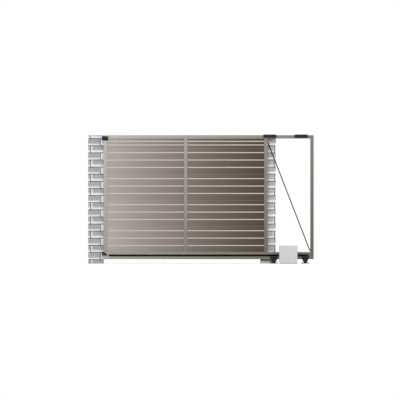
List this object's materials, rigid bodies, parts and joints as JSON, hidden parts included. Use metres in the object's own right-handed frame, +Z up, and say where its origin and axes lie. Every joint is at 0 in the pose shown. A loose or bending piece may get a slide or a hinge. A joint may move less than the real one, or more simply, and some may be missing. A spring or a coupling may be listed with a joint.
{
  "type": "sliding driveway gate",
  "caption": "Cantilever sliding gate with ribbed panels in a tube frame, running on roller carriages, with a rack drive, top guides, catchers and brick pillars.",
  "frame": {"origin": "middle of the guide pillar's base, on the ground", "axes": "+X the way the leaf opens, +Y from the yard to the street, +Z up"},
  "size_m": [4.325, 0.6835, 2.472],
  "materials": {
    "brick": "rough",
    "panel": "satin coat",
    "frame": "satin coat",
    "beam": "satin coat",
    "brace": "satin coat",
    "rack": "matte",
    "hardware": "matte coat",
    "nylon": "matte",
    "axle": "turned",
    "pinion": "machined",
    "housing": "matte"
  },
  "bodies": {
    "gateway": {"guide_pillar": "brick", "catch_pillar": "brick", "upper_catcher": "hardware", "lower_catcher": "hardware", "guide_bar": "hardware", "front_guide_bracket": "hardware", "front_guide_rollers": "nylon", "front_carriage": "hardware", "front_carriage_rollers": "nylon", "front_carriage_axles": "axle", "rear_guide_bracket": "hardware", "rear_guide_rollers": "nylon", "rear_carriage": "hardware", "rear_carriage_rollers": "nylon", "rear_carriage_axles": "axle", "drive_base_plate": "hardware", "drive_body": "housing", "drive_cover": "housing"},
    "leaf": {"bottom_beam": "beam", "beam_end_caps": "beam", "bottom_rail": "frame", "top_rail": "frame", "leading_stile": "frame", "middle_stile": "frame", "rear_stile": "frame", "tail_stile": "frame", "left_panel_1": "panel", "left_panel_2": "panel", "left_panel_3": "panel", "left_panel_4": "panel", "left_panel_5": "panel", "right_panel_1": "panel", "right_panel_2": "panel", "right_panel_3": "panel", "right_panel_4": "panel", "right_panel_5": "panel", "brace_rod": "brace", "brace_lugs": "frame", "gear_rack_1": "rack", "gear_rack_2": "rack", "gear_rack_3": "rack", "gear_rack_4": "rack"},
    "pinion": {"drive_pinion": "pinion"}
  },
  "joints": [
    {"name": "leaf_slide", "type": "slide", "parent": "gateway", "child": "leaf", "axis": [1, 0, 0], "range_m": [0, 3]},
    {"name": "pinion_spin", "type": "hinge", "parent": "gateway", "child": "pinion", "pos_m": [0.388, -0.3, 0.106], "axis": [0, 1, 0], "continuous": true}
  ],
  "couplings": [
    {"joint": "pinion_spin", "follows": "leaf_slide", "rad_per_m": 27.778}
  ]
}
